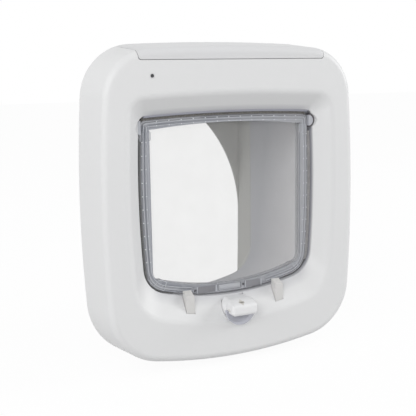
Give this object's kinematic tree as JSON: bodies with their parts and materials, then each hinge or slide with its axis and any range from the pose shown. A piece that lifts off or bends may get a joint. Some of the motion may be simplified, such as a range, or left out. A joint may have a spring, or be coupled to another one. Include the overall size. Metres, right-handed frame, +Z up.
{
  "type": "cat flap",
  "caption": "Cat flap for a door: a white moulded housing with a funnel opening, a clear swinging flap with brush edges, drop latches, a lock knob, a battery cover and a sleeved tunnel.",
  "frame": {"origin": "centre of the four door screws, in the plane where the housing meets the door", "axes": "+X to the right as seen from the room, +Y into the door and out through the tunnel, +Z up"},
  "size_m": [0.2124, 0.1477, 0.2365],
  "materials": {
    "white": "smooth satin moulding",
    "clear": "clear",
    "tunnel_grey": "smooth satin",
    "sleeve_grey": "smooth satin",
    "brush": "fine pile",
    "steel": "fine brushed",
    "zinc": "bright plated",
    "magnet": "dark sintered",
    "copper": "enamelled wire",
    "board": "varnished",
    "cell": "plain sleeve",
    "light": "smoked",
    "black": "satin",
    "gear": "natural",
    "button": "satin"
  },
  "bodies": {
    "housing": {"front_housing": "white", "rear_cover": "white", "cover_screws": "zinc", "inner_tunnel": "tunnel_grey", "antenna_former": "black", "antenna_coil": "copper", "battery_tray": "black", "battery_contacts": "zinc", "circuit_board": "board", "led_lens": "light", "switch_base": "black", "latch_motor": "zinc", "motor_bracket": "steel", "hinge_bush_left": "clear", "hinge_bush_right": "clear", "magnet_left": "magnet", "magnet_right": "magnet", "battery_cell_1": "cell", "battery_cell_2": "cell", "battery_cell_3": "cell", "battery_cell_4": "cell"},
    "tunnel_sleeve": {"outer_tunnel": "sleeve_grey"},
    "flap": {"flap_rail": "clear", "flap_panel": "clear", "brush_top": "brush", "brush_left": "brush", "brush_right": "brush", "brush_bottom_left": "brush", "brush_bottom_right": "brush", "strike_plate_left": "steel", "strike_plate_right": "steel", "hinge_pin_left": "steel", "hinge_pin_right": "steel"},
    "latches": {"latch_left": "white", "latch_right": "white", "latch_bar": "gear"},
    "pinion": {"latch_pinion": "gear", "motor_shaft": "steel"},
    "lock": {"lock_knob": "white", "lock_cam": "clear", "knob_clip": "zinc"},
    "lid": {"battery_cover": "white"},
    "button": {"learn_button": "button"}
  },
  "joints": [
    {"name": "flap_swing", "type": "hinge", "parent": "housing", "child": "flap", "pos_m": [0, -0.023, 0.0582], "axis": [1, 0, 0], "range_deg": [0, 68]},
    {"name": "latch_drop", "type": "slide", "parent": "housing", "child": "latches", "axis": [0, 0, 1], "range_m": [-0.009, 0]},
    {"name": "pinion_turn", "type": "hinge", "parent": "housing", "child": "pinion", "pos_m": [0.02, -0.0226, -0.0967], "axis": [1, 0, 0], "range_deg": [0, 115]},
    {"name": "lock_turn", "type": "hinge", "parent": "housing", "child": "lock", "pos_m": [0, -0.04, -0.0765], "axis": [0, 1, 0], "range_deg": [0, 270]},
    {"name": "cover_slide", "type": "slide", "parent": "housing", "child": "lid", "axis": [0, 0, 1], "range_m": [0, 0.02]},
    {"name": "learn_press", "type": "slide", "parent": "housing", "child": "button", "axis": [0, 0, -1], "range_m": [0, 0.0015], "stiffness_N_per_m": 400, "springref_m": -0.0005},
    {"name": "sleeve_slide", "type": "slide", "parent": "housing", "child": "tunnel_sleeve", "axis": [0, 1, 0], "range_m": [0, 0.02]}
  ],
  "couplings": [
    {"joint": "pinion_turn", "follows": "latch_drop", "rad_per_m": -166.67}
  ]
}
